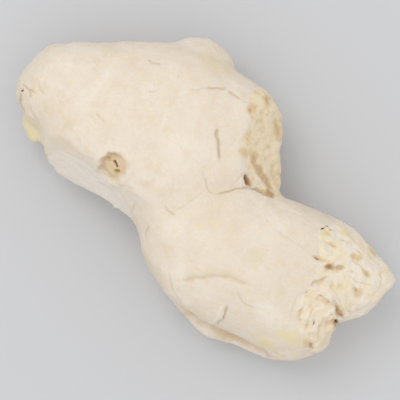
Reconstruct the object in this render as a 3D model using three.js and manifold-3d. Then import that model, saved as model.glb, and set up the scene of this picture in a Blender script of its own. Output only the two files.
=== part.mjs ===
// A piece of fresh ginger root: one rhizome of two fused lobes, lying on its broad side.
//
// Millimetres, +Z up, origin under the middle of the piece at the height it rests on.
// +X runs along the rhizome towards its torn end, and +Y towards the small knob on its flank.
// The root grew as one piece, so it is one solid: each swelling is made on its own,
// and the swellings are joined and trimmed with boolean operations.

import * as THREE from "three";
import { mergeVertices } from "three/addons/utils/BufferGeometryUtils.js";
import Module from "manifold-3d";

const wasm = await Module();
wasm.setup();

// ---------------------------------------------------------------- driving dimensions

// The older, broad lobe, from its rounded end at the left to its scarred end.
// Each row is one cross-section: x, the two sides (y low, y high),
// then the underside and the top (z low, z high).
const BROAD_LOBE = [
  [-55.3, -12.8, 7.2, 5.0, 24.5],
  [-50.0, -12.8, 8.7, 3.4, 27.6],
  [-46.0, -13.6, 11.1, 1.8, 29.6],
  [-40.0, -14.6, 15.4, 0.2, 31.4],
  [-37.0, -19.0, 18.0, -0.6, 32.4],
  [-32.0, -21.4, 21.5, -0.9, 33.8],
  [-26.0, -20.2, 25.3, -1.0, 35.4],
  [-18.0, -18.9, 27.6, -1.0, 36.4],
  [-10.0, -18.9, 28.3, -0.6, 36.8],
  [-3.0, -18.0, 28.9, 0.2, 36.2],
  [3.0, -14.0, 28.3, 1.6, 35.2],
  [8.0, -6.0, 24.6, 3.4, 33.0],
  [12.0, -1.0, 17.5, 5.0, 30.0],
  [16.0, 2.5, 13.7, 6.6, 27.0],
  [17.6, 4.0, 12.6, 7.4, 25.8],
];

// The younger lobe, which leaves the broad one at a shallow angle.
const YOUNG_LOBE = [
  [-20.0, -18.0, 8.0, 6.0, 30.0],
  [-8.0, -18.8, 16.0, 2.0, 33.0],
  [-4.0, -22.6, 16.0, 1.0, 33.8],
  [0.0, -25.4, 14.0, 0.2, 34.2],
  [4.0, -27.5, 11.0, -0.5, 34.4],
  [8.0, -28.7, 9.0, -0.9, 34.5],
  [17.0, -29.4, 8.1, -1.0, 34.2],
  [20.0, -29.4, 9.4, -1.0, 33.9],
  [24.0, -28.8, 10.4, -1.0, 33.4],
  [32.0, -27.0, 12.3, -0.8, 31.8],
  [40.0, -25.8, 13.1, 0.2, 29.4],
  [46.0, -23.0, 12.1, 1.8, 26.6],
  [50.8, -18.6, 10.6, 3.6, 23.4],
];

// The layer under the young lobe's outer skin, which stands out beside it as a ledge.
const LEDGE = [
  [0.0, -27.0, -6.0, 1.0, 15.0],
  [8.0, -28.9, -6.0, 0.0, 15.0],
  [14.0, -30.2, -6.0, -0.6, 15.2],
  [20.0, -31.7, -6.0, -0.8, 15.4],
  [24.6, -32.6, -6.0, -0.8, 15.2],
  [30.0, -30.4, -6.0, -0.6, 15.0],
  [37.0, -28.7, -6.0, 0.4, 15.0],
  [43.0, -27.0, -6.0, 1.8, 15.0],
  [50.6, -20.8, -6.0, 4.0, 15.4],
];

// The torn end: a blunt nose, and a crumbled stump beside it.
const NOSE = [
  [28.0, -8.0, 9.6, 6.0, 27.0],
  [40.0, -9.8, 12.9, 4.4, 27.4],
  [46.0, -10.0, 11.9, 4.6, 25.8],
  [50.0, -9.2, 10.9, 5.4, 24.2],
  [53.0, -6.2, 10.4, 6.6, 22.6],
  [55.8, -2.8, 10.2, 8.0, 20.8],
];
const STUMP = [
  [32.0, -22.0, -6.0, 4.0, 23.0],
  [42.0, -26.6, -7.6, 3.0, 23.6],
  [46.0, -24.4, -8.2, 3.6, 22.6],
  [49.0, -21.9, -8.8, 4.8, 20.8],
  [51.5, -19.2, -9.4, 6.6, 18.2],
];

// Round swellings: centre, half-lengths along their own axes, and a turn about Z in degrees.
const KNOB = { centre: [-17.5, 18.7, 15.4], half: [10.8, 13.0, 11.6], turn: 4 };
const SPROUT = { centre: [-42.4, -9.0, 10.8], half: [6.4, 8.9, 7.0], turn: -4 };

// Flat faces on the broad lobe, each with a point on it, its lean from upright,
// and its turn about Z from facing -Y, in degrees.
const OLD_CUT = { point: [-22, -13.2, 29.6], lean: 26, turn: -3 }; // a neighbour was sliced off
const SCAR = { point: [1.0, 19.0, 33.0], lean: 35, turn: 119 }; // an older part broke off

const SQUARENESS = 2.3; // of every cross-section: 2 is an ellipse, and more is boxier
const END_ROUND = 7; // length over which a lobe's end is rounded off
const BLUNT_ROUND = 2.2; // the same, for an end that was broken or torn
const RING_STEP = 3.4; // length of a facet along a lobe
const SIDES = 30; // facets around a lobe
const BLOCK = 160; // edge of the blocks that trim the root, larger than the root itself

// ---------------------------------------------------------------- helpers

// A signed power turns the circle of cosine and sine into a superellipse.
function squared(value) {
  return Math.sign(value) * Math.abs(value) ** (2 / SQUARENESS);
}

// How far a cross-section has opened at a distance from the lobe's end: 0 at the end itself.
function opening(distance, round) {
  const short = Math.max(0, 1 - distance / round);
  return Math.sqrt(1 - short * short);
}

// A closed skin through cross-sections along X. It starts as a sphere with its poles on X,
// and every vertex is moved to its place on the section at its own x.
function lobe(sections, [startRound, endRound]) {
  const start = sections[0][0];
  const length = sections.at(-1)[0] - start;
  const rings = Math.round(length / RING_STEP);
  const skin = new THREE.SphereGeometry(1, SIDES, rings).rotateZ(-Math.PI / 2);

  const stations = sections.map((row) => row[0]);
  const extents = sections.flatMap((row) => row.slice(1));
  const between = new THREE.CubicInterpolant(stations, extents, 4, new Float32Array(4));

  const place = skin.getAttribute("position");
  for (let i = 0; i < place.count; i++) {
    const share = (THREE.MathUtils.clamp(place.getX(i), -1, 1) + 1) / 2;
    const around = Math.atan2(place.getZ(i), place.getY(i));
    const gone = share * length;
    const open = opening(gone, startRound) * opening(length - gone, endRound);
    const [yLow, yHigh, zLow, zHigh] = between.evaluate(start + gone);
    place.setXYZ(
      i,
      start + gone,
      (yLow + yHigh + (yHigh - yLow) * squared(Math.cos(around)) * open) / 2,
      (zLow + zHigh + (zHigh - zLow) * squared(Math.sin(around)) * open) / 2,
    );
  }
  return skin;
}

// An egg-shaped swelling, turned about Z.
function swelling({ centre, half, turn }) {
  return new THREE.SphereGeometry(1, SIDES, SIDES / 2)
    .scale(...half)
    .rotateZ(THREE.MathUtils.degToRad(turn))
    .translate(...centre);
}

// The block outside a flat face. It faces -Y and leans back, and is then turned into place.
function waste({ point, lean, turn }) {
  return new THREE.BoxGeometry(BLOCK, BLOCK, BLOCK)
    .translate(0, -BLOCK / 2, 0)
    .rotateX(-THREE.MathUtils.degToRad(lean))
    .rotateZ(THREE.MathUtils.degToRad(turn))
    .translate(...point);
}

// Everything below the height at which the root rests.
function table() {
  return new THREE.BoxGeometry(BLOCK, BLOCK, BLOCK).translate(0, 0, -BLOCK / 2);
}

// The solid that a closed geometry bounds, once its seam and poles are merged.
function solid(geometry) {
  const bare = geometry.clone();
  bare.deleteAttribute("normal");
  bare.deleteAttribute("uv");
  const merged = mergeVertices(bare, 1e-3);
  return new wasm.Manifold(
    new wasm.Mesh({
      numProp: 3,
      vertProperties: merged.getAttribute("position").array,
      triVerts: new Uint32Array(merged.index.array),
    }),
  );
}

// A solid's surface as a geometry again.
function surface(body) {
  const mesh = body.getMesh();
  const geometry = new THREE.BufferGeometry();
  geometry.setAttribute("position", new THREE.BufferAttribute(mesh.vertProperties, 3));
  geometry.setIndex(new THREE.BufferAttribute(mesh.triVerts, 1));
  geometry.computeVertexNormals();
  return geometry;
}

// ---------------------------------------------------------------- the rhizome

// The broad lobe is cut on its own, so that its flat faces stop where the young lobe begins.
function rhizome() {
  const broad = solid(lobe(BROAD_LOBE, [END_ROUND, BLUNT_ROUND]))
    .subtract(solid(waste(OLD_CUT)))
    .subtract(solid(waste(SCAR)));
  const others = [
    lobe(YOUNG_LOBE, [END_ROUND, BLUNT_ROUND]),
    lobe(LEDGE, [END_ROUND, END_ROUND]),
    lobe(NOSE, [END_ROUND, BLUNT_ROUND]),
    lobe(STUMP, [END_ROUND, BLUNT_ROUND]),
    swelling(KNOB),
    swelling(SPROUT),
  ];
  const grown = others.map(solid).reduce((joined, next) => joined.add(next), broad);
  return surface(grown.subtract(solid(table())));
}

const skin = rhizome();
skin.computeBoundingBox();
const middle = skin.boundingBox.getCenter(new THREE.Vector3());
skin.translate(-middle.x, -middle.y, -skin.boundingBox.min.z);

const ginger_rhizome = new THREE.Mesh(
  skin,
  new THREE.MeshStandardMaterial({ color: 0xe6d9c3, roughness: 0.62, metalness: 0 }),
);
ginger_rhizome.name = "ginger_rhizome";

const ginger_root = new THREE.Group();
ginger_root.add(ginger_rhizome);

export default ginger_root;
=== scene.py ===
# %% [markdown]
# # A piece of fresh ginger root
#
# A ginger root is a swollen underground stem. It grows in fat lobes under a thin papery
# skin, and the skin shows its history: rings where old scales sat, a round scar where a
# shoot stood, folds where the skin dried, and rough brown ends where it was broken off.
# The solid that a simulator uses is already packed as the frame. This lesson loads it,
# makes a finely sculpted skin of the same size, and gives that skin its colours.

# %% Load the frame
from math import radians

import bpy
import numpy as np
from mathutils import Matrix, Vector, noise


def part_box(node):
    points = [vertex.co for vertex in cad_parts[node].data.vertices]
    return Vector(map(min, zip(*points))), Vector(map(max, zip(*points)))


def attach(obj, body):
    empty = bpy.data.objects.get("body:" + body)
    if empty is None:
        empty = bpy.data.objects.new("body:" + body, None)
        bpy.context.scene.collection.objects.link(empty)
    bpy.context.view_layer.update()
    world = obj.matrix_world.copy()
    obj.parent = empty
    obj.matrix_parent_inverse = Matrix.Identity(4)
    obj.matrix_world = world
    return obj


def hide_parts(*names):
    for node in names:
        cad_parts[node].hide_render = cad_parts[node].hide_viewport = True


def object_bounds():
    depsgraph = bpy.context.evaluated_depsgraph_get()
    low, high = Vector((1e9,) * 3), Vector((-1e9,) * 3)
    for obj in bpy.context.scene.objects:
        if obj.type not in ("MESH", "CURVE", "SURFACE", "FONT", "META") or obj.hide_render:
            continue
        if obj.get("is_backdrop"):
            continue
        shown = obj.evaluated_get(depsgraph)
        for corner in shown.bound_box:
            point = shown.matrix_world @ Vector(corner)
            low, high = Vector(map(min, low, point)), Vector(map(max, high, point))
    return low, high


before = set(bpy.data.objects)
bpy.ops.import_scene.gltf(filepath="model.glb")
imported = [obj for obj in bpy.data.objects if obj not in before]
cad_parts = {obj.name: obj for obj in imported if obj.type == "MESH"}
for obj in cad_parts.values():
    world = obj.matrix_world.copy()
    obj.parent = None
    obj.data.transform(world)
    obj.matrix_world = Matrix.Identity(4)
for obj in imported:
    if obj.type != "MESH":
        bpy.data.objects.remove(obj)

cad_box = [list(corner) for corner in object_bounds()]
low, high = (Vector(corner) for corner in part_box("ginger_rhizome"))
MM = 0.001
middle = Vector(((low.x + high.x) / 2, (low.y + high.y) / 2, low.z))
print("root", [round(side / MM, 1) for side in high - low], "mm")


def at(x, y, z=0.0):
    """A place given in millimetres from the middle of the root's resting side."""
    return middle + Vector((x, y, z)) * MM


# %% [markdown]
# ## The camera
#
# The root lies on a table and the camera looks straight down on it, turned a little, so
# that the rhizome runs from the upper left of the picture to the lower right. A long lens
# from well above keeps the perspective mild, as in a catalogue picture.

# %% Place the camera
LENS = 150  # mm
SENSOR = 36  # mm
VIEW_WIDTH = 104  # mm of the root's middle height that the picture spans
WIDEST_HEIGHT = 18  # mm above the table, where the root's outline is widest
TURN = radians(36)
CAMERA_PLACE = (2.07, -3.98)  # mm from the middle of the root, to centre its outline

camera_height = WIDEST_HEIGHT + VIEW_WIDTH * LENS / SENSOR
bpy.ops.object.camera_add(location=at(*CAMERA_PLACE, camera_height), rotation=(0, 0, TURN))
camera = bpy.context.active_object
camera.name = "camera"
camera.data.lens = LENS
camera.data.sensor_width = SENSOR
bpy.context.scene.camera = camera
bpy.context.scene.view_settings.view_transform = "Standard"
print("camera", round(camera_height), "mm above the table")

# %% [markdown]
# ## The table and the light
#
# The root is lit as in a light tent: a pale table, an even pale sky, and two large soft
# lamps. The key lamp hangs on the side of the rounded end. Both lamps are weak beside the
# sky, so the top of the root is evenly bright and its flanks turn only slightly darker.

# %% Make the table, the sky and the lamps
TABLE_SIZE = 4  # m, so that its rim is out of sight
GREY = (0.60, 0.61, 0.63, 1)
PALE_SKY = (1.0, 0.99, 0.98, 1)
SKY_STRENGTH = 0.86

bpy.ops.mesh.primitive_plane_add(size=TABLE_SIZE, location=at(0, 0))
table = bpy.context.active_object
table.name = "table"
table_finish = bpy.data.materials.new("table_finish")
table_finish.use_nodes = True
matt = table_finish.node_tree.nodes["Principled BSDF"]
matt.inputs["Base Color"].default_value = GREY
matt.inputs["Roughness"].default_value = 0.9
table.data.materials.append(table_finish)
table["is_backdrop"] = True

sky = bpy.data.worlds.new("sky")
sky.use_nodes = True
background = sky.node_tree.nodes["Background"]
background.inputs["Color"].default_value = PALE_SKY
background.inputs["Strength"].default_value = SKY_STRENGTH
bpy.context.scene.world = sky


def lamp(name, place, size, power):
    """A soft square lamp at a place, pointing at the root."""
    bpy.ops.object.light_add(type="AREA", location=place)
    light = bpy.context.active_object
    light.name = name
    light.data.size = size
    light.data.energy = power
    towards = at(0, 0, WIDEST_HEIGHT) - place
    light.rotation_euler = towards.to_track_quat("-Z", "Y").to_euler()
    print(f"{name} {towards.length:.2f} m from the root, {power} W")


lamp("key_lamp", at(-330, 90, 640), 0.35, 0.95)
lamp("fill_lamp", at(260, -200, 760), 0.8, 0.55)

# %% [markdown]
# ## The rough form
#
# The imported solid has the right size, but its lobes meet in hard seams and it has large
# facets. A copy is wrapped in an even net of small squares with a voxel Remesh, which also
# joins everything into one skin. A Smooth modifier then rounds the seams, so that the
# lobes flow into each other as grown tissue does, and a Subdivision Surface rounds the
# squares themselves.

# %% Wrap the solid in an even skin
NET = 1.3 * MM  # side of a square of the net
ROUNDING = 5  # passes of the Smooth modifier

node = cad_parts["ginger_rhizome"]
root = bpy.data.objects.new("rhizome", node.data.copy())
bpy.context.scene.collection.objects.link(root)


def pick(piece):
    """Makes one piece the only selected and active one."""
    bpy.ops.object.select_all(action="DESELECT")
    piece.select_set(True)
    bpy.context.view_layer.objects.active = piece


def finish_with(piece, kind, **settings):
    """Adds a modifier with these settings and applies it."""
    pick(piece)
    modifier = piece.modifiers.new(kind.lower(), kind)
    for name, value in settings.items():
        setattr(modifier, name, value)
    bpy.ops.object.modifier_apply(modifier=modifier.name)


pick(root)
bpy.ops.object.mode_set(mode="EDIT")
bpy.ops.mesh.select_all(action="SELECT")
bpy.ops.mesh.remove_doubles(threshold=0.01 * MM)
bpy.ops.object.mode_set(mode="OBJECT")
finish_with(root, "REMESH", mode="VOXEL", voxel_size=NET)
finish_with(root, "SMOOTH", factor=0.5, iterations=ROUNDING)
finish_with(root, "SUBSURF", levels=1, render_levels=1)
print("net of", len(root.data.polygons), "squares")

# %% [markdown]
# ## Tools for sculpting
#
# A sculptor's strokes can be repeated exactly if they are written down: a stroke is a path
# or a patch on the skin, with a weight for every point of the net, from 1 on the stroke to
# 0 beyond its reach. Strokes are laid out in a plan of the root as the camera sees it, so a
# point nearer to the lens than the widest outline lies slightly further out in the plan. A
# Displace modifier then moves each point along its normal by its weight. The same strokes
# are used again later as masks for colour.

# %% Read the skin's points
WANDER = 0.40  # mm by which a stroke wanders, because nothing on a root runs straight
FRAY = 0.16  # mm by which its rim frays
FIBRES = radians(14)  # the way the fibres run in the torn end


def noise_at(spots, size, seed=0):
    """Smooth noise from -1 to 1 at these points, with lumps of a size in millimetres."""
    return np.array([noise.noise(Vector(spot) / size + Vector((seed, -seed, seed)) * 7.3)
                     for spot in spots])


def fade(distance, reach):
    """1 at a distance of 0, falling smoothly to 0 at the reach."""
    share = np.clip(1 - distance / reach, 0, 1)
    return share * share * (3 - 2 * share)


def rounded(path, passes=2):
    """A path with its corners cut off, twice over, so that it runs in curves."""
    corners = np.array(path, dtype=float)
    for _ in range(passes):
        near = corners[:-1] * 0.75 + corners[1:] * 0.25
        far = corners[:-1] * 0.25 + corners[1:] * 0.75
        inner = np.stack([near, far], axis=1).reshape(-1, 2)
        corners = np.vstack([corners[:1], inner, corners[-1:]])
    return corners


class Skin:
    """The points of a piece in millimetres, and the strokes that can be laid on them."""

    def __init__(self, piece):
        mesh = piece.data
        values = np.empty(len(mesh.vertices) * 3)
        mesh.vertices.foreach_get("co", values)
        self.spots = (values.reshape(-1, 3) - np.array(middle)) / MM
        mesh.vertex_normals.foreach_get("vector", values)
        self.facing = values.reshape(-1, 3)
        wander = [noise_at(self.spots, 2.6, seed) for seed in (1, 2)]
        fray = [noise_at(self.spots, 0.9, seed) for seed in (3, 4)]
        eye = np.array(camera.location - middle) / MM
        # A point as high as the widest outline stays where it is in the plan.
        nearness = (eye[2] - WIDEST_HEIGHT) / (eye[2] - self.spots[:, 2])
        from_eye = (self.spots[:, :2] - eye[:2]) * nearness[:, None]
        self.plan = eye[:2] + from_eye + np.stack(wander, 1) * WANDER + np.stack(fray, 1) * FRAY
        self.uneven = 1 + 0.45 * noise_at(self.spots, 1.8, 20)
        self.above = fade(0.35 - self.facing[:, 2], 0.45)  # the side seen from above
        self.below = fade(0.35 + self.facing[:, 2], 0.45)  # and the side seen from below
        self.free = 1 - fade(self.spots[:, 2], 1.6)  # clear of the table

    def follow(self, path):
        """Distance from a path in the plan, the side of it as a sign, and share along it."""
        corners = rounded(path)
        runs = np.diff(corners, axis=0)
        lengths = np.hypot(*runs.T)
        gone = np.concatenate([[0], np.cumsum(lengths)])
        distance = np.full(len(self.plan), np.inf)
        side, share = np.zeros_like(distance), np.zeros_like(distance)
        for start, run, length, before in zip(corners, runs, lengths, gone):
            part = np.clip((self.plan - start) @ run / length ** 2, 0, 1)
            off = self.plan - start - part[:, None] * run
            away = np.hypot(*off.T)
            nearer = away < distance
            distance[nearer] = away[nearer]
            side[nearer] = np.sign(run[0] * off[:, 1] - run[1] * off[:, 0])[nearer]
            share[nearer] = ((before + part * length) / gone[-1])[nearer]
        return distance, side, share

    def line(self, path, width, taper=0.15):
        """A stroke along a path, slightly thinner and fainter towards both ends."""
        distance, _, share = self.follow(path)
        ends = np.clip(np.minimum(share, 1 - share) / taper, 0, 1)
        strength = (0.25 + 0.75 * ends) * np.clip(self.uneven, 0, 1)
        return fade(distance, width * (0.6 + 0.4 * ends) * self.uneven) * strength

    def lip(self, path, reach, edge=0.5, taper=0.2):
        """A layer that ends in a step along the path: full on its left, nothing on its right."""
        distance, side, share = self.follow(path)
        ends = np.clip(np.minimum(share, 1 - share) / taper, 0, 1)
        step = 1 - fade(edge / 2 + side * distance, edge)
        return step * fade(distance, reach) * ends

    def patch(self, centre, half, turn=0.0):
        """A soft oval, turned by degrees: 1 in its middle and 0 at its rim."""
        off = self.plan - np.array(centre)
        cos, sin = np.cos(radians(turn)), np.sin(radians(turn))
        across = (off[:, 0] * cos + off[:, 1] * sin) / half[0]
        along = (off[:, 1] * cos - off[:, 0] * sin) / half[1]
        return fade(np.hypot(across, along), 1)

    def area(self, corners, soft):
        """1 inside a polygon, falling to 0 over a soft edge centred on its outline."""
        ring = [*corners, corners[0]]
        inside = np.zeros(len(self.plan), dtype=bool)
        distance = np.full(len(self.plan), np.inf)
        x, y = self.plan.T
        for (ax, ay), (bx, by) in zip(ring, ring[1:]):
            crosses = (ay > y) != (by > y)
            inside ^= crosses & (x < (bx - ax) * (y - ay) / ((by - ay) or 1e-9) + ax)
            run = np.array((bx - ax, by - ay))
            part = np.clip(((x - ax) * run[0] + (y - ay) * run[1]) / (run @ run), 0, 1)
            away = np.hypot(x - ax - part * run[0], y - ay - part * run[1])
            distance = np.minimum(distance, away)
        return fade(soft / 2 - np.where(inside, distance, -distance), soft)

    def lumps(self, size, seed=0, rise=1.0):
        """Noise from -1 to 1 with lumps of a size in millimetres.

        A rise below 1 draws the lumps out upwards, for steep places."""
        return noise_at(self.spots * (1, 1, rise), size, seed)

    def shreds(self, size, seed=0):
        """Sharp-edged noise from -1 to 1, drawn out along the fibres of the root."""
        cos, sin = np.cos(FIBRES), np.sin(FIBRES)
        along = self.spots[:, 0] * cos + self.spots[:, 1] * sin
        across = self.spots[:, 1] * cos - self.spots[:, 0] * sin
        drawn = np.stack([along / 2.4, across, self.spots[:, 2] / 1.4], axis=1)
        return 1 - 3 * np.abs(noise_at(drawn, size, seed))


# %% Move the skin by a relief
def carve(piece, relief):
    """Moves each point along its normal by its relief in millimetres, out or in."""
    pick(piece)
    for name, sign in (("raised", 1), ("pressed", -1)):
        amount = np.clip(sign * relief, 0, None)
        tallest = amount.max()
        layer = piece.data.attributes.new(name, "FLOAT", "POINT")
        layer.data.foreach_set("value", amount / tallest)
        piece.data.attributes.active = layer
        bpy.ops.geometry.attribute_convert(mode="VERTEX_GROUP")
        finish_with(piece, "DISPLACE", vertex_group=name, mid_level=0,
                    strength=sign * tallest * MM)
        piece.vertex_groups.remove(piece.vertex_groups[name])
        print(f"  {name} up to {tallest:.2f} mm")


skin = Skin(root)
print(len(skin.spots), "points to sculpt")

# %% [markdown]
# ## The growth rings and the large dents
#
# A rhizome grows scale by scale, and each old scale leaves a soft ring round its lobe.
# The rings and the broad dents are laid first, as a sculptor blocks out a form before
# touching the details. Slow noise makes the rings wander and keeps the lobes from looking
# like eggs, and a faint crumple covers everything, as on any skin that has dried a little.

# %% Note rings, dents and swells
RINGS = [  # where it crosses the middle, lean, height and width, in millimetres
    (-50.0, 0.10, 0.16, 1.8), (-45.8, 0.02, 0.26, 2.6), (-36.8, -0.02, 0.26, 3.0),
    (-27.0, 0.08, 0.14, 2.4), (-17.6, -0.22, 0.16, 1.8), (-6.5, -0.10, 0.10, 2.4),
    (17.6, 0.24, 0.26, 3.2), (30.5, 0.12, 0.14, 2.6), (37.5, 0.10, 0.18, 2.4),
]
DENTS = [  # centre, half-widths, turn and depth
    ((22.3, -7.3), (5.5, 7.5), -12, 0.38), ((8.7, -9.0), (6.0, 6.5), 10, 0.30),
    ((-24.0, 5.5), (8.0, 4.5), 5, 0.24), ((-12.5, 25.0), (7.0, 2.2), -4, 0.30),
    ((-11.5, -7.0), (3.0, 7.0), 6, 0.30), ((-32.0, -7.0), (4.5, 6.0), 12, 0.26),
    ((31.0, -1.5), (5.0, 3.0), 12, 0.28), ((37.0, -13.0), (3.5, 5.0), 5, 0.25),
    ((-44.0, -7.5), (3.0, 4.5), 10, 0.30), ((12.0, -22.0), (3.0, 2.0), 40, 0.30),
]
SWELLS = [  # centre, half-widths, turn and height
    ((-23.0, 19.5), (6.5, 4.5), 20, 0.35), ((-8.0, 9.0), (8.0, 7.0), 0, 0.28),
    ((1.5, -15.0), (7.0, 6.0), -35, 0.35), ((34.0, -17.5), (5.0, 4.5), 0, 0.45),
    ((17.0, -2.0), (2.8, 6.5), -14, 0.30), ((-50.5, 4.0), (3.5, 5.0), 0, 0.25),
    ((26.0, 5.5), (9.0, 2.5), 14, 0.25), ((45.0, -11.0), (4.5, 4.5), 0, 0.45),
]
RIM_TOUCHES = [  # the same for places where the outline bulges or draws in a little
    ((55.4, 8.6), (3.6, 3.4), 0, 1.3), ((50.5, -16.0), (3.0, 4.0), 0, 0.6),
    ((-46.5, -14.5), (3.0, 5.0), 20, 0.7), ((-53.2, 5.6), (2.4, 2.4), 0, 0.4),
    ((-49.4, 8.4), (2.4, 2.2), 0, -0.6), ((-53.5, -7.0), (2.4, 4.0), 0, 0.4),
    ((-23.3, 30.0), (3.6, 3.2), 0, -0.45), ((-13.1, 29.3), (3.4, 3.8), 0, 0.55),
    ((51.8, -8.8), (2.4, 1.6), 30, -1.0),
]
LEDGE_RIM = [(6.0, -24.5), (11.7, -29.1), (18.0, -31.0), (24.1, -32.0), (33.5, -29.5),
             (42.5, -26.4), (48.0, -22.0)]
print(len(RINGS), "rings,", len(DENTS), "dents and", len(SWELLS), "swells")

# %% Block out the form
x, y, z = skin.spots.T
drift = skin.lumps(15, 5) * 2.4 + skin.lumps(6, 11) * 1.1
relief = skin.lumps(17) * 0.42 + skin.lumps(7.5, 3) * 0.20
relief += skin.lumps(3.6, 21) * 0.13 + skin.shreds(2.2, 22) * 0.07
broken = np.clip(0.7 + 1.2 * skin.lumps(8, 4), 0, 1)
for place, lean, height, width in RINGS:
    away = np.abs(x - place - lean * y + drift)
    relief += height * fade(away, width) * broken
for centre, half, turn, depth in DENTS:
    relief -= depth * skin.patch(centre, half, turn) * skin.above
for centre, half, turn, height in SWELLS:
    relief += height * skin.patch(centre, half, turn) * skin.above
for centre, half, turn, height in RIM_TOUCHES:
    relief += height * skin.patch(centre, half, turn)
relief += 0.75 * skin.line(LEDGE_RIM, 3.5)
carve(root, relief * skin.free)

# %% [markdown]
# ## The marks on the skin
#
# Every mark is written down once, as a path, a patch or a polygon in the plan, and is used
# three times: to choose where the net has to be finer, to carve the skin, and to colour
# it. The dried skin has creased where the lobes pull on it. Where an older part broke off,
# and at the torn end, it has no skin at all.

# %% Note the creases
CREASES = [  # path, width and depth
    ([(-17.0, 17.6), (-15.6, 18.5), (-13.9, 20.7)], 0.50, 0.20),
    ([(-14.2, 20.4), (-11.6, 22.2), (-9.2, 23.8)], 0.72, 0.36),
    ([(-8.6, 23.6), (-7.0, 23.6), (-5.0, 23.2)], 0.80, 0.42),
    ([(-5.5, 23.3), (-2.4, 23.9)], 0.45, 0.15),
    ([(-30.4, 17.6), (-28.8, 17.9), (-27.0, 18.7)], 0.55, 0.34),
    ([(-25.8, 10.7), (-24.6, 11.6), (-23.2, 12.8)], 0.60, 0.15),
    ([(-33.3, -1.6), (-31.6, -1.9), (-29.9, -2.6)], 0.50, 0.20),
    ([(-5.8, 14.4), (-4.6, 12.4), (-2.6, 10.3), (0.6, 7.1)], 0.68, 0.62),
    ([(-5.6, 14.2), (-2.8, 16.0)], 0.50, 0.12),
    ([(0.0, 10.5), (0.4, 15.1)], 0.40, 0.07),
    ([(-2.2, 2.9), (0.3, 0.6), (2.4, -0.9), (4.3, -0.4)], 0.48, 0.26),
    ([(4.2, -0.6), (6.0, 0.6), (7.2, 2.8), (9.0, 5.0), (11.4, 6.6), (14.5, 7.3)], 0.50, 0.40),
    ([(10.2, 6.2), (13.8, 7.4), (17.6, 7.6)], 0.80, 0.45),
    ([(6.9, 2.6), (6.7, 5.0), (7.4, 8.0)], 0.42, 0.14),
    ([(-5.0, -10.4), (-3.2, -11.3), (-0.7, -11.2)], 0.50, 0.32),
    ([(-5.4, -8.2), (-4.4, -10.0), (-3.2, -11.4)], 0.45, 0.13),
    ([(-2.3, -11.0), (-0.4, -7.6), (0.6, -4.2), (1.9, -1.0)], 0.45, 0.12),
    ([(-4.7, -17.4), (-4.2, -20.4)], 0.60, 0.30),
    ([(-12.0, -5.5), (-12.5, -9.2)], 0.45, 0.12),
    ([(-11.4, -13.6), (-10.4, -18.2)], 0.60, 0.20),
    ([(9.6, -24.8), (12.8, -21.5), (16.2, -18.2), (19.5, -15.9), (27.5, -13.6)], 1.30, 0.19),
    ([(23.3, -16.9), (26.6, -19.4), (30.5, -18.4)], 0.50, 0.18),
    ([(23.7, -22.1), (25.2, -24.4), (23.8, -28.6)], 0.75, 0.50),
    ([(-53.3, -7.0), (-51.1, -6.9), (-49.0, -6.7)], 0.65, 0.34),
    ([(-52.4, -9.0), (-50.8, -11.0), (-48.2, -12.9)], 0.95, 0.55),
    ([(-51.1, -6.9), (-49.3, -8.5)], 0.55, 0.30),
    ([(-48.9, -9.4), (-46.6, -11.4), (-43.6, -12.4)], 0.50, 0.22),
    ([(-50.4, -3.6), (-48.4, -5.2), (-46.0, -5.6)], 0.50, 0.16),
    ([(-44.8, -8.0), (-43.2, -9.8)], 0.45, 0.14),
    ([(-38.4, -5.0), (-37.4, -9.5), (-38.0, -14.5)], 0.42, 0.08),
    ([(-50.4, 1.6), (-49.0, -2.3), (-46.8, -7.0)], 0.42, 0.10),
    ([(-32.9, 4.3), (-31.7, 6.2), (-28.5, 7.6)], 0.42, 0.08),
    ([(-30.6, 3.4), (-27.8, 3.9)], 0.42, 0.10),
    ([(-34.6, -6.8), (-33.8, -4.4)], 0.42, 0.12),
    ([(20.0, 6.6), (26.0, 8.2), (31.5, 8.8)], 0.45, 0.10),
    ([(21.5, 1.5), (27.0, 1.6), (33.5, 1.5)], 0.55, 0.14),
    ([(-26.0, 9.5), (-21.0, 8.6), (-17.5, 5.0)], 0.42, 0.05),
    ([(-9.0, -2.0), (-5.0, -5.0), (-4.5, -9.0)], 0.42, 0.05),
    ([(33.6, 1.4), (35.4, 1.4), (37.9, 2.4)], 0.60, 0.30),
    ([(38.6, 0.9), (39.9, 2.0), (43.4, 4.1)], 0.72, 0.40),
    ([(38.7, -5.3), (38.5, -4.0), (39.1, -2.8), (41.2, -0.3)], 0.62, 0.34),
    ([(34.6, 7.0), (36.5, 6.6), (38.4, 6.9)], 0.55, 0.22),
    ([(36.5, 9.4), (41.0, 9.8), (45.5, 9.0)], 0.50, 0.22),
    ([(43.0, 6.4), (46.5, 6.9), (50.5, 5.0)], 0.55, 0.26),
    ([(44.0, 2.6), (48.0, 2.8), (52.0, 4.6)], 0.50, 0.22),
    ([(41.4, -1.6), (45.0, -2.6), (48.4, -4.8)], 0.50, 0.20),
    ([(51.0, 8.6), (53.4, 6.0), (53.0, 3.0)], 0.45, 0.18),
    ([(45.2, -4.9), (47.4, -5.7), (49.0, -6.6), (50.6, -7.0)], 1.10, 0.80),
    ([(41.0, -5.9), (43.4, -5.5), (45.0, -6.0)], 0.50, 0.26),
    ([(39.6, -8.5), (40.3, -12.0), (42.2, -15.2)], 0.50, 0.22),
    ([(42.6, -8.5), (43.0, -12.0), (44.2, -15.6)], 0.50, 0.24),
    ([(46.2, -9.4), (46.8, -12.4), (48.0, -15.6)], 0.50, 0.24),
    ([(37.2, -9.0), (38.0, -13.0), (40.0, -16.6)], 0.45, 0.16),
]
print(len(CREASES), "creases")

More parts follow.
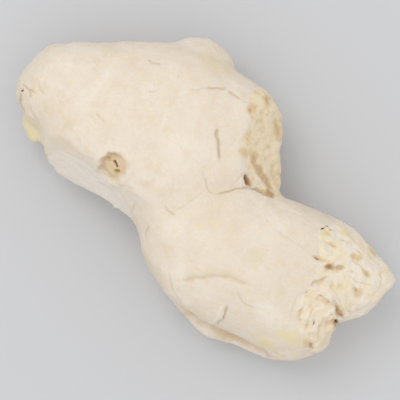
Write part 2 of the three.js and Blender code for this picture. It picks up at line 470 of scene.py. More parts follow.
# %% Note the pits
PITS = [  # centre, half-widths, turn and depth
    ((9.3, 7.5), (2.4, 1.2), -28, 1.50), ((-52.2, -8.4), (0.6, 0.8), 0, 0.55),
    ((-32.1, 13.0), (0.5, 0.5), 0, 0.30), ((-21.3, 18.9), (0.6, 0.4), 20, 0.30),
    ((19.4, 2.2), (0.8, 0.6), 0, 0.30), ((32.3, 8.9), (0.6, 0.5), 30, 0.45),
    ((34.1, 9.7), (0.7, 0.5), 20, 0.45), ((35.3, 1.5), (0.9, 0.5), 14, 0.40),
    ((39.8, 1.8), (1.3, 0.6), 34, 0.50), ((49.8, -8.8), (1.1, 0.8), -20, 1.40),
    ((44.8, -12.5), (0.4, 1.0), 20, 0.55), ((47.1, -7.7), (0.8, 0.6), 30, 0.50),
    ((48.0, 1.2), (1.1, 0.8), -60, 0.30), ((50.6, -0.6), (0.9, 0.7), 0, 0.26),
    ((43.6, 7.3), (1.6, 1.0), -15, 0.28), ((48.8, 5.8), (1.3, 0.6), -30, 0.30),
    ((38.6, -7.0), (0.5, 0.4), 0, 0.35), ((47.6, -17.6), (1.1, 0.6), -40, 0.50),
    ((42.0, -5.6), (0.6, 0.4), -10, 0.30), ((44.8, -5.8), (0.7, 0.4), -10, 0.30),
    ((40.8, -9.4), (0.6, 0.5), 0, 0.28), ((43.2, -8.0), (0.6, 0.5), 0, 0.30),
    ((40.2, -2.2), (0.8, 0.5), 40, 0.20), ((52.6, 1.8), (0.7, 0.5), 0, 0.22),
]
# The open spots are painted near black: painted shadow in them.
HOLES = [  # centre, half-widths and turn of the spots that are open and look black
    ((49.8, -8.8), (1.3, 0.8), -20), ((-52.2, -8.4), (0.6, 0.8), 0),
    ((32.3, 8.9), (0.8, 0.5), 30), ((34.1, 9.7), (0.9, 0.5), 20), ((33.0, 9.7), (0.8, 0.4), 20),
    ((8.2, 8.1), (1.2, 0.5), -28), ((44.8, -12.5), (0.5, 1.3), 20),
]
print(len(PITS), "pits")

# %% Note the layers, the broken ends and the bud scar
SCAR_END = [(-3.4, 25.4), (-0.6, 22.4), (1.6, 18.8), (1.4, 15.4), (2.6, 12.4), (6.4, 10.6),
            (8.6, 8.6), (17.0, 6.6), (20.0, 12.0), (12.0, 24.0), (5.0, 31.0), (-3.0, 31.0)]
SCAR_STREAK = [(5.6, 13.6), (8.0, 12.2), (11.4, 10.5), (14.2, 9.7), (16.6, 8.7)]
PALE_STRIP = [(8.9, 10.2), (11.0, 9.2), (13.6, 8.6)]
FOLD = [(-20.1, 13.3), (-18.6, 9.0), (-16.3, 3.8)]
FLAP_RIM = [(22.6, -22.4), (23.9, -24.8), (23.2, -27.8)]
STUMP = [(38.2, -7.0), (39.4, -4.8), (41.8, -3.7), (44.5, -3.7), (46.8, -5.6), (48.2, -8.2),
         (54.0, -9.6), (54.0, -16.0), (50.5, -20.4), (46.6, -17.6), (43.2, -17.0), (40.2, -13.6)]
NOSE = [(34.5, 13.0), (31.6, 8.6), (34.0, 4.6), (36.6, 1.0), (39.5, -4.0), (46.0, -4.0),
        (48.4, -8.4), (58.0, -8.0), (58.0, 14.0), (40.0, 15.0)]
CUT_FACE = [(-35.7, -14.9), (-30.5, -13.5), (-24.7, -13.1), (-21.3, -14.0), (-16.3, -14.4),
            (-9.5, -17.6), (-12.0, -24.0), (-38.0, -24.0)]
FLAP_EDGE = [(6.0, -23.2), (9.5, -26.2), (13.2, -27.9), (17.4, -28.5), (21.4, -28.6),
             (24.3, -27.9), (25.0, -24.4), (23.7, -22.2)]
GROOVE = [(12.4, -28.7), (16.0, -29.4), (19.5, -29.7), (24.6, -28.9), (30.3, -27.3),
          (37.0, -26.6), (42.5, -24.2), (46.5, -21.4)]
CUT_EDGE = [(-36.2, -15.6), (-35.0, -14.6), (-30.5, -13.5), (-24.7, -13.1), (-21.3, -14.0),
            (-16.3, -14.4), (-12.0, -16.0), (-9.5, -18.0)]
CUT_RIM = [(-37.4, -17.4), (-36.4, -19.2), (-33.0, -20.2), (-29.0, -20.4)]
SCAR_EDGE = [(8.6, 8.8), (6.4, 10.6), (2.6, 12.4), (1.4, 15.4), (1.6, 18.8), (-0.6, 22.4)]
CRUST_EDGE = [(38.6, -6.4), (39.6, -5.0), (41.8, -4.0), (44.2, -3.9), (46.6, -5.6), (47.8, -8.0)]
BUD = (-21.2, -10.2)
BUD_SLITS = [[(-22.3, -9.5), (-21.4, -9.9), (-20.3, -10.3)], [(-20.4, -11.5), (-19.1, -10.8)]]
SPROUT = ((-43.4, -15.4), (6.0, 4.4), -54)  # centre, half-widths and turn of the young tip
SPROUT_POINT = ((-42.6, -17.2), (2.6, 2.6))
FLAKE = ((-14.8, -18.9), (1.2, 1.0))  # a loose corner of skin beside the cut
print("bud scar at", BUD)

# %% [markdown]
# ## A finer net where it is needed
#
# Creases are about half a millimetre wide. A net that fine all over would be far too
# heavy, so only the squares near a mark are split again. The Smooth modifier then evens
# out the new points, which start out lying flat in the old squares.


# %% Refine the net round the marks
def bud_distance(skin):
    """Each point's distance from the middle of the bud scar in the plan."""
    return np.hypot(*(skin.plan - np.array(BUD)).T)


def refine(piece, wanted):
    """Splits the squares that have a wanted corner."""
    mesh = piece.data
    corners = np.empty(len(mesh.loops), dtype=np.int32)
    mesh.loops.foreach_get("vertex_index", corners)
    mesh.polygons.foreach_set("select", wanted[corners.reshape(-1, 4)].any(axis=1))
    pick(piece)
    bpy.context.tool_settings.mesh_select_mode = (False, False, True)
    bpy.ops.object.mode_set(mode="EDIT")
    bpy.ops.mesh.subdivide(number_cuts=1)
    bpy.ops.object.mode_set(mode="OBJECT")


skin = Skin(root)
marked = skin.area(SCAR_END, 1.5) + skin.area(STUMP, 2.0) + skin.area(NOSE, 1.0)
marked += (bud_distance(skin) < 6.0)
marked += skin.line(GROOVE, 1.8) + skin.line(CUT_EDGE, 1.2) + skin.line(CUT_RIM, 1.2)
marked += skin.line(FLAP_EDGE, 1.4)
for path, width, depth in CREASES:
    marked += skin.line(path, width + 0.6)
for centre, half, turn, depth in PITS:
    marked += skin.patch(centre, np.array(half) + 0.9, turn)
refine(root, (marked > 0.05) & (skin.facing[:, 2] > 0))
finish_with(root, "SMOOTH", factor=0.5, iterations=2)
skin = Skin(root)
x, y, z = skin.spots.T
triangles = sum(len(square.vertices) - 2 for square in root.data.polygons)
print("fine net of", triangles, "triangles")

# %% [markdown]
# ## Carving the marks
#
# A crease is a groove with one edge slightly raised, and a pit is a small steep hollow.
# At the edge of a layer the surface steps down instead. The rough ends are broken up by
# noise: round lumps for the old dry scar, and sharp shreds along the fibres where the
# root was torn.

# %% Cut creases and pits
RAISED_EDGE = 0.25  # of a crease's depth

# Each crease and pit also gets a colour mask that is stronger the deeper it is cut: painted shade,
# with some brown of the dried skin in the creases.
creases, pits = np.zeros(len(x)), np.zeros(len(x))
relief = np.zeros(len(x))
for path, width, depth in CREASES:
    stroke = skin.line(path, width) * skin.above
    edge = skin.lip(path, 2 * width, edge=width) * skin.above
    relief += -depth * stroke + RAISED_EDGE * depth * edge
    creases = np.maximum(creases, stroke * min(1, 0.26 + 1.2 * depth))
for centre, half, turn, depth in PITS:
    stroke = skin.patch(centre, np.array(half) * 1.25, turn) * skin.above
    relief -= depth * stroke
    pits = np.maximum(pits, stroke * min(1, 0.35 + 0.5 * depth))
carve(root, relief * skin.free)

# %% Lift the layers and break up the rough ends
LEDGE_HEIGHT = 13.0  # mm, where the ledge meets the flank above it
LEDGE_REACH = 4.5  # mm above and below, so that the groove doesn't run down the flank

flap = skin.lip(FLAP_EDGE, 6.0, edge=0.7, taper=0.1) * skin.above
ledge = fade(np.abs(z - LEDGE_HEIGHT), LEDGE_REACH)
groove = skin.line(GROOVE, 1.7, taper=0.45) * ledge
cut_face = skin.area(CUT_FACE, 0.8) * fade(0.2 - skin.facing[:, 2], 0.3)
scar_end, stump = skin.area(SCAR_END, 3.0), skin.area(STUMP, 1.4)
nose = skin.area(NOSE, 3.0)
crust_edge = skin.line(CRUST_EDGE, 1.0)
rough = scar_end * (0.34 * skin.lumps(4.2, 6, rise=0.4) + 0.24 * skin.lumps(1.9, 8, rise=0.4)
                    + 0.10 * skin.lumps(0.9, 9, rise=0.5))
rough += stump * (0.26 * skin.shreds(2.8, 7) + 0.30 * skin.lumps(1.5, 10)
                  + 0.18 * skin.lumps(0.75, 12))
rough += nose * (1 - stump) * (0.28 * skin.shreds(3.4, 13) + 0.22 * skin.lumps(1.8, 14)
                               + 0.13 * skin.lumps(0.8, 15))
relief = rough + 0.60 * flap - 0.55 * groove + 0.30 * crust_edge
relief += 0.22 * skin.lip(CUT_EDGE, 4.0, edge=0.6) * skin.above + 0.30 * skin.line(CUT_RIM, 0.8)
relief += 0.12 * skin.lip(SCAR_EDGE, 3.0, edge=1.2) * skin.above
relief += 1.7 * skin.patch(*FLAKE)
relief += 0.45 * skin.lumps(2.6, 21) * skin.patch(*SPROUT)
relief += 0.60 * skin.patch(*SPROUT_POINT) + 0.10 * skin.lumps(1.2, 22) * cut_face
carve(root, relief * skin.free)

# %% [markdown]
# ## The round bud scar
#
# A shoot once stood on the broad lobe. When it dried and fell, it left a round scar: a
# raised collar, a bowl with a small ring in it, and the split stub in the middle. It is
# one profile turned round a centre, so it is worked out from each point's distance to it.

# %% Sink the bud scar
radius = bud_distance(skin) + 0.40 * skin.lumps(1.7, 31) + 0.15 * skin.lumps(0.8, 32)
off = (skin.plan - np.array(BUD)) / np.maximum(bud_distance(skin), 0.5)[:, None]
lean = off @ (0.7, -0.7)  # 1 on the side of the thicker collar
# dark_side is 1 on the side of the scar nearest the lamps, where the bowl's wall faces away from
# them: the bowl is cut deeper there, and its ring gets painted shade.
dark_side = np.clip(0.35 + 0.65 * off @ (-0.95, 0.3), 0, 1)
collar = fade(np.abs(radius - 4.5), 1.4)
bowl = 1 - fade(3.9 - radius, 1.5)
slits = np.max([skin.line(path, 0.48) for path in BUD_SLITS], axis=0)
relief = collar * (0.26 + 0.22 * lean) - (0.95 + 0.4 * dark_side) * bowl
relief += 0.25 * fade(np.abs(radius - 2.3), 0.6) + 0.45 * fade(radius, 1.5) - 0.8 * slits
relief += bowl * 0.10 * skin.lumps(0.9, 33)
carve(root, relief * skin.above)

# %% [markdown]
# ## The side that lies on the table
#
# Thin roots grew from the underside of each lobe and were rubbed off. Each left a small
# round bump with a dimple. The growth rings pass under here as well, and a long crease
# runs where the two lobes meet.

# %% Dot the underside with root scars
ROOT_SCARS = [(-45, 5), (-41, -4), (-33, 15), (-27, -15), (-17, 20), (-9, -9), (-3, 21),
              (3, -3), (7, 15), (11, -25), (22, 3), (30, -22), (38, 6), (42, -14), (47, 2)]
UNDER_CREASES = [
    ([(2.0, -1.0), (6.0, 2.5), (11.0, 5.5), (16.0, 7.5)], 1.4, 0.70),
    ([(-6.0, -17.0), (-2.0, -10.0), (1.0, -3.0)], 1.1, 0.40),
    ([(-38.0, 8.0), (-30.0, 12.5), (-22.0, 18.0)], 0.9, 0.28),
    ([(22.0, -27.0), (30.0, -23.5), (41.0, -20.0)], 1.0, 0.35),
    ([(34.0, 8.0), (41.0, 6.0), (46.0, 7.5)], 0.9, 0.30),
]

relief = np.zeros(len(x))
root_scars = np.zeros(len(x))
for centre in ROOT_SCARS:
    bump = skin.patch(centre, (2.0, 1.7), 20)
    dimple = skin.patch(centre, (0.8, 0.8))
    relief += (0.45 * bump - 0.55 * dimple) * skin.below
    root_scars = np.maximum(root_scars, np.maximum(0.35 * bump, dimple) * skin.below)
for path, width, depth in UNDER_CREASES:
    stroke = skin.line(path, width) * skin.below
    relief -= depth * stroke
    creases = np.maximum(creases, 0.6 * stroke)
x, y, z = skin.spots.T
drift = skin.lumps(15, 5) * 2.4 + skin.lumps(6, 11) * 1.1
hidden = 1 - skin.above
for place, lean, height, width in RINGS:
    stroke = fade(np.abs(x - place - lean * y + drift), 0.8) * hidden * np.clip(skin.uneven, 0, 1)
    relief -= 0.22 * stroke
    creases = np.maximum(creases, 0.4 * stroke)
carve(root, relief * skin.free)

# %% [markdown]
# ## The papery grain
#
# All over, the dried skin is slightly puckered. Displace can also read a procedural
# texture, so the grain is one Clouds texture at about a millimetre, faint enough to show
# only where the light grazes it. The last step presses the resting side level again.

# %% Pucker the skin
clouds = bpy.data.textures.new("pucker", "CLOUDS")
clouds.noise_scale = 1.5 * MM
clouds.noise_depth = 2
finish_with(root, "DISPLACE", texture=clouds, texture_coords="LOCAL", mid_level=0.5,
            strength=0.13 * MM)

places = np.empty(len(root.data.vertices) * 3)
root.data.vertices.foreach_get("co", places)
places[2::3] = np.maximum(places[2::3], low.z)
root.data.vertices.foreach_set("co", places)
root.data.update()
pick(root)
bpy.ops.object.shade_smooth()

# %% [markdown]
# ## Masks for the colours
#
# Colour follows the form: creases are darkened, partly as painted shade and partly with the
# brown of the dried skin, rough ends are tan, and the old cut is a cool grey. The strokes
# above become attributes of the mesh, which the material can read. A few more patches are
# painted here: yellow where young tissue shows through, cool and warm patches of skin,
# ochre where the tissue has dried, and brown stains. Some of the ochre and brown patches
# are painted shade, in the groove under the flap, in a deep pit and in the bud scar's bowl.

# %% Note the coloured patches
PATCHES = {  # centre, half-widths, turn and strength
    "yellow": [
        ((-43.8, -15.0), (5.4, 4.2), -54, 0.85), ((33.8, 8.1), (2.3, 2.6), 0, 1.00),
        ((36.6, 6.9), (3.2, 1.5), 0, 0.80), ((42.1, -19.2), (6.4, 3.2), 12, 1.00),
        ((37.6, -24.1), (5.4, 2.4), 10, 1.00), ((43.6, 7.5), (3.4, 2.6), -15, 0.60),
        ((46.2, 11.5), (3.8, 1.8), -18, 1.00), ((37.7, 11.3), (3.6, 1.8), 4, 0.80),
        ((31.0, -14.0), (4.0, 2.0), 10, 0.35), ((7.5, -8.0), (5.5, 6.0), 0, 0.35),
        ((24.5, -15.5), (5.0, 2.0), 0, 0.35), ((45.7, -17.0), (2.6, 1.8), -20, 0.80),
        ((-42.2, -16.4), (4.4, 2.8), -54, 1.00), ((-46.4, -13.6), (3.6, 2.8), -60, 0.80),
        ((-24.0, 6.5), (7.0, 4.0), 5, 0.30), ((-46.0, -9.0), (4.0, 4.0), 0, 0.25),
        ((30.0, -19.5), (3.0, 1.6), 0, 0.35), ((46.2, -1.2), (8.0, 4.6), -25, 0.5),
        ((5.0, 17.5), (3.4, 7.0), 20, 0.60), ((-18.6, -6.6), (4.0, 2.4), 20, 0.30),
        ((-16.0, 27.0), (6.5, 5.0), 0, 0.45), ((-5.5, 16.0), (2.4, 2.4), 0, 0.30),
        ((12.5, 14.0), (3.4, 6.0), 30, 0.60),
    ],
    "cool": [
        ((-47.5, 6.0), (5.5, 9.0), 0, 0.7), ((-36.8, 6.0), (3.0, 14.0), 0, 0.7),
        ((-6.0, 2.0), (8.0, 11.0), 20, 0.6), ((1.0, -14.5), (7.0, 8.0), -30, 0.8),
        ((8.0, -21.0), (7.0, 3.5), -45, 0.8), ((34.0, -17.5), (9.0, 6.0), 0, 1.0),
        ((39.5, -10.0), (2.6, 6.0), 0, 0.8), ((18.5, -22.5), (6.0, 3.5), 10, 0.7),
        ((17.5, -2.0), (2.6, 8.0), -14, 0.6), ((-24.0, 20.0), (6.0, 4.0), 20, 0.6),
        ((45.5, -11.0), (2.0, 2.4), 0, 0.9), ((-17.2, 7.0), (1.6, 5.0), 20, 0.5),
        ((41.0, 8.8), (3.0, 1.6), 0, 0.8), ((50.5, 7.5), (4.0, 2.4), -30, 0.8),
        ((45.5, 4.6), (3.0, 1.4), 10, 0.7), ((52.5, -3.0), (3.0, 4.0), 0, 0.8),
        ((11.8, 8.2), (2.4, 1.4), -10, 0.9), ((2.4, 20.0), (2.0, 1.4), 0, 0.8),
    ],
    "warm": [
        ((22.3, -7.3), (5.0, 6.5), -12, 0.9), ((-23.5, 4.0), (9.0, 6.0), 0, 0.5),
        ((-15.0, 26.5), (9.5, 5.0), 0, 0.9), ((-40.0, -6.0), (5.0, 7.0), 0, 0.5),
        ((9.5, -6.5), (5.0, 5.5), 0, 0.5), ((19.5, -15.6), (8.0, 2.4), 14, 1.0),
        ((-11.0, -10.0), (3.5, 6.0), 0, 0.6),
        ((32.0, -6.0), (5.0, 4.0), 0, 0.4), ((22.0, 5.5), (6.0, 3.0), 15, 0.4),
        ((2.0, -26.0), (12.0, 2.4), -28, 0.6), ((-50.0, -7.0), (4.0, 5.0), 0, 0.6),
        ((-28.5, -11.0), (8.0, 2.5), 4, 0.6), ((13.0, 3.0), (6.0, 3.0), 20, 0.5),
        ((-4.6, 24.3), (3.0, 3.0), 0, 0.7), ((31.0, 2.0), (6.0, 1.6), 0, 0.6),
    ],
    "ochre": [
        ((-1.1, 23.3), (2.8, 3.8), 20, 1.0), ((3.6, 12.8), (3.0, 2.4), 0, 0.9),
        ((6.6, 13.8), (3.0, 2.4), 0, 1.0), ((2.6, 16.8), (2.2, 2.8), 0, 0.7),
        ((7.6, 22.6), (6.0, 2.2), -40, 1.0), ((0.8, 27.0), (4.0, 2.2), -35, 0.8),
        ((43.8, 7.7), (2.8, 2.0), -10, 1.0), ((48.2, 6.0), (3.2, 1.6), -20, 1.0),
        ((36.8, 6.9), (3.0, 1.2), 0, 0.8), ((33.6, 8.6), (1.9, 1.5), 0, 0.6),
        ((49.4, 0.6), (3.2, 2.1), -45, 1.0), ((35.8, 1.8), (3.2, 1.4), 10, 0.9),
        ((41.0, 2.5), (4.0, 1.7), 30, 1.0), ((45.0, 4.0), (2.4, 1.2), 10, 0.7),
        ((48.0, -6.0), (4.4, 2.2), -20, 1.0), ((49.8, -4.6), (2.2, 1.2), 0, 0.7),
        ((49.9, -9.4), (3.2, 2.2), 0, 1.0), ((39.6, -2.9), (2.0, 3.6), -30, 0.8),
        ((43.6, -6.2), (3.4, 1.5), 0, 0.9), ((46.8, -17.8), (3.2, 2.4), 0, 0.8),
        ((40.4, -12.4), (1.6, 3.8), 10, 0.7), ((41.2, -9.4), (2.2, 2.0), 0, 0.7),
        # The first patch below darkens the deep pit at the corner of the old scar: painted shade.
        ((9.8, 7.3), (3.2, 1.8), -28, 1.0), ((-20.5, 18.0), (2.0, 1.0), 0, 0.25),
        ((14.8, 7.5), (4.0, 1.3), 5, 1.0), ((46.4, 11.2), (3.4, 1.3), -18, 0.9),
        ((12.0, 21.0), (2.0, 5.0), 30, 0.5),
        ((38.4, -6.8), (2.2, 1.2), 0, 0.7), ((43.8, -11.0), (1.4, 3.0), 10, 0.5),
        ((52.6, 3.4), (1.6, 2.6), 0, 0.4), ((40.6, 9.9), (2.6, 0.9), 0, 0.5),
        # These three patches run along the groove under the flap: painted shade.
        ((17.0, -29.4), (7.5, 2.2), -6, 0.60), ((29.0, -28.4), (9.5, 2.6), 12, 0.65),
        ((41.0, -24.8), (7.0, 2.0), 24, 0.45),
    ],
    # Brown stains of the skin; a few of these patches are painted shade, as noted below.
    "stains_and_shade": [
        ((1.0, 27.2), (2.4, 1.0), -30, 0.7), ((-1.0, 22.6), (1.0, 1.8), 20, 0.6),
        ((7.4, 22.9), (4.2, 0.8), -40, 0.6), ((6.6, 13.4), (1.4, 1.0), 0, 0.5),
        ((15.6, 8.0), (3.0, 1.2), -5, 0.9), ((47.8, -17.8), (1.3, 1.6), 40, 0.8),
        ((48.6, 5.7), (1.4, 0.6), -30, 0.5), ((48.4, 1.2), (1.6, 1.0), -50, 0.6),
        ((40.0, 1.9), (1.8, 0.9), 34, 0.8), ((35.4, 1.5), (1.3, 0.7), 14, 0.8),
        ((47.6, -5.8), (2.6, 0.9), -25, 1.0), ((49.6, -6.9), (1.4, 1.0), -25, 1.0),
        ((49.8, -9.4), (2.6, 1.7), -20, 1.0), ((47.1, -7.8), (1.2, 0.9), 0, 0.7),
        ((-37.0, -18.6), (1.4, 2.0), 0, 0.8), ((-51.0, -10.2), (0.9, 2.6), -45, 0.6),
        ((42.0, -5.7), (1.2, 0.7), -10, 0.7), ((44.9, -5.9), (1.1, 0.7), 0, 0.6),
        ((43.3, -8.0), (0.9, 0.7), 0, 0.5), ((-13.0, -18.6), (2.4, 1.0), 0, 0.4),
        ((38.6, -7.1), (1.3, 0.7), 0, 0.7), ((38.5, -4.6), (0.7, 1.6), 0, 0.5),
        # Both patches below are painted shade: in the deep pit at the corner of the old scar, and
        # in the groove under the flap.
        ((9.5, 7.4), (2.9, 1.6), -28, 1.0), ((18.2, -28.8), (4.6, 0.9), -4, 0.60),
        ((-19.9, -11.2), (1.9, 1.1), 25, 1.0), ((-21.4, -9.9), (1.9, 1.2), -10, 0.7),
        # The first patch below darkens the bud's bowl on the side nearest the lamps: painted
        # shade.
        ((-23.3, -9.6), (1.2, 2.2), 10, 0.7), ((-41.2, -16.9), (1.6, 0.8), 40, 0.5),
        ((32.6, 9.2), (1.2, 0.8), 20, 0.7),
        ((44.0, 12.6), (5.0, 0.7), -8, 0.2), ((40.2, -1.8), (1.4, 0.7), 45, 0.4),
    ],
}


# %% Paint the masks
ROUGHEST = 0.35  # mm of relief at which a hollow or a ridge is coloured in full


def paint(name, values):
    """Stores a mask on the mesh, for the material to read."""
    layer = root.data.attributes.new(name, "FLOAT", "POINT")
    layer.data.foreach_set("value", np.clip(values, 0, 1))
    print(f"  {name} covers {np.mean(values > 0.1):.1%}")


seen = fade(0.2 - skin.facing[:, 2], 0.5)  # reaches further down the flanks than above
for name, patches in PATCHES.items():
    patches = [strength * skin.patch(centre, half, turn)
               for centre, half, turn, strength in patches]
    paint(name, np.max(patches, axis=0) * (skin.above if name == "stains_and_shade" else seen))
paint("streak", skin.line(SCAR_STREAK, 1.9) * seen)
paint("root_scar", root_scars)
# Creases and pits are painted darker the deeper they are cut: painted shade, with some brown of
# the dried skin in the creases.
paint("crease", np.maximum(creases, 0.9 * skin.line(CUT_RIM, 1.0) * skin.above))
paint("pit", pits)
# The bud's slit and the open holes are painted near black: painted shadow.
holes = np.max([skin.patch(*hole) for hole in HOLES], axis=0)
paint("slit", np.maximum(skin.line(BUD_SLITS[0], 0.45) * skin.above, holes * seen))
paint("dry_scar", scar_end * fade(0.1 - skin.facing[:, 2], 0.8))
paint("torn", nose * seen)
paint("stump", stump)
# Tan in the hollows of the rough ends is painted shade, and pale on their ridges a painted
# highlight.
paint("hollow", -rough / ROUGHEST)
paint("ridge", rough / ROUGHEST)
paint("cut", cut_face)
# The groove under the flap is coloured tan as painted shade.
paint("groove", skin.line(GROOVE, 3.4, taper=0.45) * ledge)
# The ring is brown all round and browner on dark_side, as painted shade.
paint("bud_ring", fade(np.abs(radius - 3.1), 1.8) * skin.above * dark_side)
paint("bud_bowl", bowl * skin.above)
paint("pale_edge", np.maximum.reduce([
    0.9 * skin.line(PALE_STRIP, 1.0) * skin.above,
    0.8 * skin.line(FLAP_RIM, 0.8) * skin.above,
    0.6 * skin.line(FOLD, 1.0) * skin.above,
    0.8 * skin.lip(FLAP_EDGE, 0.9, edge=0.6, taper=0.1) * skin.above,
    # the collar's pale lip, whose inner wall faces the lamps, is a painted highlight
    0.6 * collar * np.clip(lean, 0, 1) * skin.above,
    0.8 * crust_edge * skin.above,
    0.3 * skin.lip(CUT_EDGE, 1.4, edge=0.6)]))

# %% [markdown]
# ## Writing shader maths as sums
#
# A material is a graph of nodes, and even a simple formula needs many of them. This small
# class wraps a node's output so that formulas can be written as ordinary expressions: each
# operator adds one Math node. Every other node comes from one method.


# %% A wrapper for sockets
class Value:
    """An output socket with arithmetic: each operator adds a Math node."""

    def __init__(self, finish, socket):
        self.finish, self.socket = finish, socket

    def _math(self, operation, first, second):
        return self.finish.add("Math", {"operation": operation}, {0: first, 1: second})

    def __add__(self, other):
        return self._math("ADD", self, other)

    def __radd__(self, other):
        return self._math("ADD", other, self)

    def __sub__(self, other):
        return self._math("SUBTRACT", self, other)

    def __rsub__(self, other):
        return self._math("SUBTRACT", other, self)

    def __mul__(self, other):
        return self._math("MULTIPLY", self, other)

    def __rmul__(self, other):
        return self._math("MULTIPLY", other, self)

    def between(self, start, end):
        """0 up to start, 1 from end, and a smooth slope in between."""
        return self.finish.add("MapRange", {"interpolation_type": "SMOOTHSTEP"},
                               {"Value": self, "From Min": start, "From Max": end})


class Finish:
    """A material under construction."""

    def __init__(self, name):
        self.material = bpy.data.materials.new(name)
        self.material.use_nodes = True
        self.tree = self.material.node_tree
        self.shader = self.tree.nodes["Principled BSDF"]

    def connect(self, socket, value):
        """Links a value to a socket, or sets a plain number or colour on it."""
        if isinstance(value, Value):
            self.tree.links.new(value.socket, socket)
        else:
            socket.default_value = value

    def add(self, kind, settings=None, values=None, output=0):
        """Adds a node of a kind: its settings first, then its sockets' values or links."""
        new = self.tree.nodes.new("ShaderNode" + kind)
        for name, setting in (settings or {}).items():
            setattr(new, name, setting)
        for name, value in (values or {}).items():
            self.connect(new.inputs[name], value)
        return Value(self, new.outputs[output])

    def mask(self, name):
        """A painted mask."""
        return self.add("Attribute", {"attribute_name": name}, output="Fac")

    def noise(self, size, detail=3.0, roughness=0.55, seed=0.0, rise=1.0):
        """Noise from 0 to 1 with lumps of a size in millimetres, drawn out by a low rise."""
        places = self.add("TexCoord", output="Object")
        shifted = self.add("VectorMath", {"operation": "MULTIPLY_ADD"},
                           {0: places, 1: (1, 1, rise), 2: (seed,) * 3})
        return self.add("TexNoise", {}, {"Vector": shifted, "Scale": 1 / (size * MM),
                                         "Detail": detail, "Roughness": roughness})

    def tint(self, colour, other, share):
        """One colour turning into another by a share from 0 to 1."""
        mixed = self.add("Mix", {"data_type": "RGBA"}, {"Factor": share}, output=2)
        mix = mixed.socket.node
        self.connect(mix.inputs[6], colour)
        self.connect(mix.inputs[7], other)
        return mixed


# %% [markdown]
# ## The skin's finish
#
# Fresh ginger skin is a pale warm cream, thin enough to glow a little, so the shader
# scatters some light under the surface. Over the cream lie cool and warm patches, then
# yellow tissue, the tan of the rough ends, brown stains, and painted shade in the pits,
# creases, slits and groove. Noise breaks up the rim of every painted mask, so that none of
# them looks brushed on.

# %% Mix the colours of the skin
CREAM = (0.780, 0.688, 0.572, 1)
MILK = (0.845, 0.780, 0.685, 1)
BLUSH = (0.735, 0.615, 0.455, 1)
STRAW = (0.790, 0.690, 0.420, 1)
HUSK = (0.850, 0.725, 0.520, 1)
OCHRE = (0.680, 0.510, 0.285, 1)
OLIVE = (0.560, 0.440, 0.280, 1)
TAN = (0.620, 0.450, 0.290, 1)
BARK = (0.480, 0.280, 0.140, 1)
PIT_SHADE = (0.220, 0.110, 0.050, 1)
PITCH = (0.025, 0.015, 0.009, 1)
ASH = (0.805, 0.738, 0.662, 1)

ginger = Finish("ginger_skin")
slow = ginger.noise(16, seed=0.31)
broad = ginger.noise(6, seed=0.12)
patchy = ginger.noise(3.5, detail=4, seed=0.44)
small = ginger.noise(2.0, detail=4, seed=0.57)
fine = ginger.noise(0.8, detail=4, roughness=0.65, seed=0.83)
steep = ginger.noise(2.0, detail=4, seed=0.67, rise=0.4)
break_up = (small - 0.5) * 0.9 + (fine - 0.5) * 0.6
scar_break_up = (steep - 0.5) * 1.4 + (fine - 0.5) * 0.6
colour = CREAM


def lay(over, share):
    """Lays another colour over the skin, by a share from 0 to 1."""
    global colour
    colour = ginger.tint(colour, over, share)


lay(MILK, slow.between(0.42, 0.66) * 0.50)
lay(BLUSH, broad.between(0.48, 0.70) * 0.45)
lay(MILK, (ginger.mask("cool") + (patchy - 0.5) * 1.2).between(0.20, 0.90) * 0.70)
lay(BLUSH, (ginger.mask("warm") + (patchy - 0.5) * 1.2).between(0.20, 1.0) * 0.65)
lay(BLUSH, patchy.between(0.52, 0.66) * 0.40)
lay(STRAW, small.between(0.54, 0.68) * 0.25)
lay(MILK, fine.between(0.54, 0.66) * 0.30)
lay(BLUSH, (1 - fine.between(0.34, 0.46)) * 0.25)
lay(ASH, (ginger.mask("cut") + break_up * 0.15).between(0.4, 0.6) * (0.35 + small))
print(len(ginger.tree.nodes), "nodes for the skin")

# %% [markdown]
# ## The colour of the rough ends
#
# Torn tissue is pale with yellowish patches, and the old scar is tan all over. The relief
# that broke these ends up is stored in the two masks hollow and ridge: the hollows are
# given tan as painted shade and the ridges pale as a painted highlight, so the colour sits
# exactly where the shape is. Colours painted apart from the shape would look like a print
# on it.

# %% Colour the rough ends
torn = (ginger.mask("torn") + break_up * 0.8).between(0.35, 0.75)
lay(MILK, torn * 0.65)
lay(HUSK, torn * patchy.between(0.43, 0.58) * 0.75)
# Ochre in the hollows, here and for the stump and the scar below, is painted shade.
lay(OCHRE, torn * (ginger.mask("hollow") + break_up * 0.8).between(0.20, 0.90) * 0.60)
lay(HUSK, (ginger.mask("stump") + break_up * 0.6).between(0.35, 0.75) * 0.65)
lay(OCHRE, ginger.mask("stump") * (ginger.mask("hollow") + break_up * 0.8).between(0.2, 0.9) * 0.6)
lay(STRAW, (ginger.mask("yellow") + break_up * 0.9).between(0.10, 0.90) * 0.85)

scar = (ginger.mask("dry_scar") + scar_break_up * 0.5).between(0.30, 0.80)
lay(HUSK, scar * 0.85)
lay(OCHRE, scar * (scar_break_up + ginger.mask("hollow") * 0.3).between(-0.05, 0.35) * 0.65)
# Milk on the ridges is a painted highlight.
lay(MILK, (scar + ginger.mask("stump")) * (ginger.mask("ridge") + break_up * 0.8)
    .between(0.30, 0.90) * 0.55)
# Some ochre patches are painted shade, in the groove under the flap and in a deep pit.
lay(OCHRE, (ginger.mask("ochre") + break_up * 1.1).between(0.25, 0.90) * 0.75)
lay(OCHRE, (ginger.mask("streak") + break_up * 0.5).between(0.10, 0.70) * 0.50)
lay(BARK, (ginger.mask("streak") + break_up * 0.6).between(0.35, 1.10) * 0.60)
print(len(ginger.tree.nodes), "nodes with the rough ends")
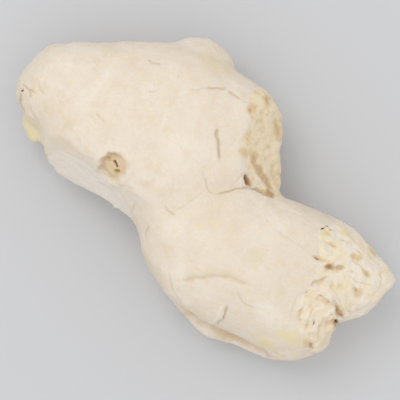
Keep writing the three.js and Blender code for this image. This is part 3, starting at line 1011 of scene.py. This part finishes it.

# %% [markdown]
# ## The colour of the marks
#
# The darkest colours are laid last, with rims that the same noise breaks up. In the groove,
# the creases, the pits and the slits, and on the bud scar's ring on the side nearest the
# lamps, they are painted shade; the creases also carry some brown of the dried skin, and
# most brown patches and the root scars are the skin's own colour. The pale edges include a
# painted highlight on the bud's collar. The last lines give the skin its satin gloss, its
# grain and a little light under the surface.

# %% Colour the marks
lay(OCHRE, (ginger.mask("bud_bowl") + break_up * 0.9).between(0.20, 0.90) * 0.75)
# The ring's brown is partly painted shade, on the side nearest the lamps.
lay(BARK, (ginger.mask("bud_ring") + break_up * 1.0).between(0.20, 1.10) * 0.55)
# Tan in the groove under the flap is painted shade.
lay(TAN, (ginger.mask("groove") + break_up * 0.4).between(0.05, 1.0) * 0.80)
# Olive in the creases is partly painted shade and partly the brown of the dried skin.
lay(OLIVE, (ginger.mask("crease") + break_up * 0.3).between(0.10, 0.80) * 0.65)
lay(BARK, ginger.mask("root_scar").between(0.20, 1.0) * 0.70)
# Brown stains, some of them painted shade in the groove, a deep pit and the bud's bowl.
lay(BARK, (ginger.mask("stains_and_shade") + break_up * 0.7).between(0.25, 0.90) * 0.85)
# The pale edges include a painted highlight on the bud's collar.
lay(MILK, (ginger.mask("pale_edge") + break_up * 0.3).between(0.15, 0.9) * 0.7)
# Dark brown in the pits and near black in the slits and holes are painted shade and shadow.
lay(PIT_SHADE, (ginger.mask("pit") + break_up * 0.35).between(0.35, 0.95) * 0.80)
lay(PITCH, (ginger.mask("slit") + break_up * 0.15).between(0.30, 0.85) * 0.92)

roughness = 0.50 + 0.12 * broad + 0.2 * scar
bump = ginger.add("Bump", {}, {"Strength": 0.85, "Distance": 0.18 * MM,
                               "Height": fine + 0.8 * small})
for socket, value in {"Base Color": colour, "Roughness": roughness, "Normal": bump,
                      "Subsurface Weight": 0.08, "Subsurface Radius": (1.0, 0.65, 0.4),
                      "Subsurface Scale": 1.2 * MM, "Specular IOR Level": 0.35}.items():
    ginger.connect(ginger.shader.inputs[socket], value)
root.data.materials.clear()
root.data.materials.append(ginger.material)
print(len(ginger.tree.nodes), "nodes in all")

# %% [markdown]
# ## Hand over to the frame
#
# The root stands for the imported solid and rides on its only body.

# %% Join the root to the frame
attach(root, "root")
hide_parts("ginger_rhizome")
print(root.name, "rides on root")

# %% Record the sizes and finish
visual_box = [list(corner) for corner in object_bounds()]
for name, box in (("packed", cad_box), ("sculpted", visual_box)):
    print(name, [round((b - a) / MM, 1) for a, b in zip(*box)], "mm")
